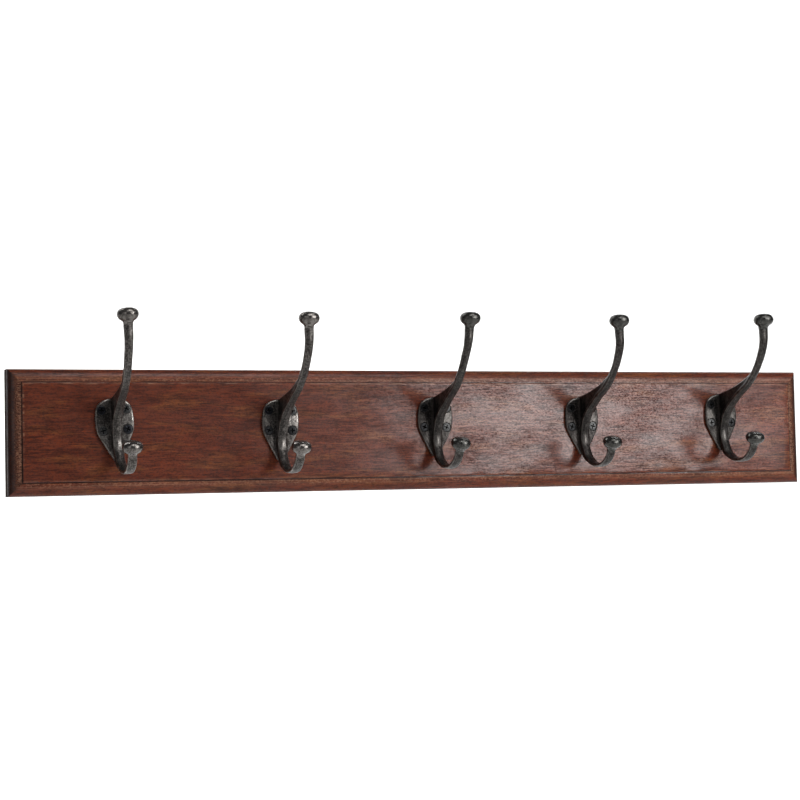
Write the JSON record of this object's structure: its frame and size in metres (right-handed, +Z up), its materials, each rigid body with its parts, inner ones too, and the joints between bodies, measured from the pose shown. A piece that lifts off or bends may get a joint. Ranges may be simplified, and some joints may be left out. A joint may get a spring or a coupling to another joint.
{
  "type": "wall hook rack",
  "caption": "Wall hook rack: a long moulded hardwood board with a row of double cast iron hat-and-coat hooks screwed to its face and keyhole hangers let into its back.",
  "frame": {"origin": "the middle of the board's back, on the wall plane", "axes": "+X along the board to the right seen from the front, +Y into the wall, +Z up"},
  "size_m": [0.86, 0.1303, 0.1739],
  "materials": {
    "board_wood": "satin lacquered mahogany-red stain with fine grain running along the board",
    "hook_iron": "dark waxed cast iron, rubbed bright on its edges",
    "screw_black": "blackened steel, semi-gloss",
    "hanger_zinc": "bright zinc plate"
  },
  "bodies": {
    "root": {"back_board": "board_wood", "hook_1": "hook_iron", "hook_2": "hook_iron", "hook_3": "hook_iron", "hook_4": "hook_iron", "hook_5": "hook_iron", "hook_1_screw_top_left": "screw_black", "hook_1_screw_top_right": "screw_black", "hook_1_screw_bottom_left": "screw_black", "hook_1_screw_bottom_right": "screw_black", "hook_2_screw_top_left": "screw_black", "hook_2_screw_top_right": "screw_black", "hook_2_screw_bottom_left": "screw_black", "hook_2_screw_bottom_right": "screw_black", "hook_3_screw_top_left": "screw_black", "hook_3_screw_top_right": "screw_black", "hook_3_screw_bottom_left": "screw_black", "hook_3_screw_bottom_right": "screw_black", "hook_4_screw_top_left": "screw_black", "hook_4_screw_top_right": "screw_black", "hook_4_screw_bottom_left": "screw_black", "hook_4_screw_bottom_right": "screw_black", "hook_5_screw_top_left": "screw_black", "hook_5_screw_top_right": "screw_black", "hook_5_screw_bottom_left": "screw_black", "hook_5_screw_bottom_right": "screw_black", "hanger_left": "hanger_zinc", "hanger_right": "hanger_zinc", "hanger_left_screw_top": "hanger_zinc", "hanger_left_screw_bottom": "hanger_zinc", "hanger_right_screw_top": "hanger_zinc", "hanger_right_screw_bottom": "hanger_zinc"}
  },
  "joints": []
}
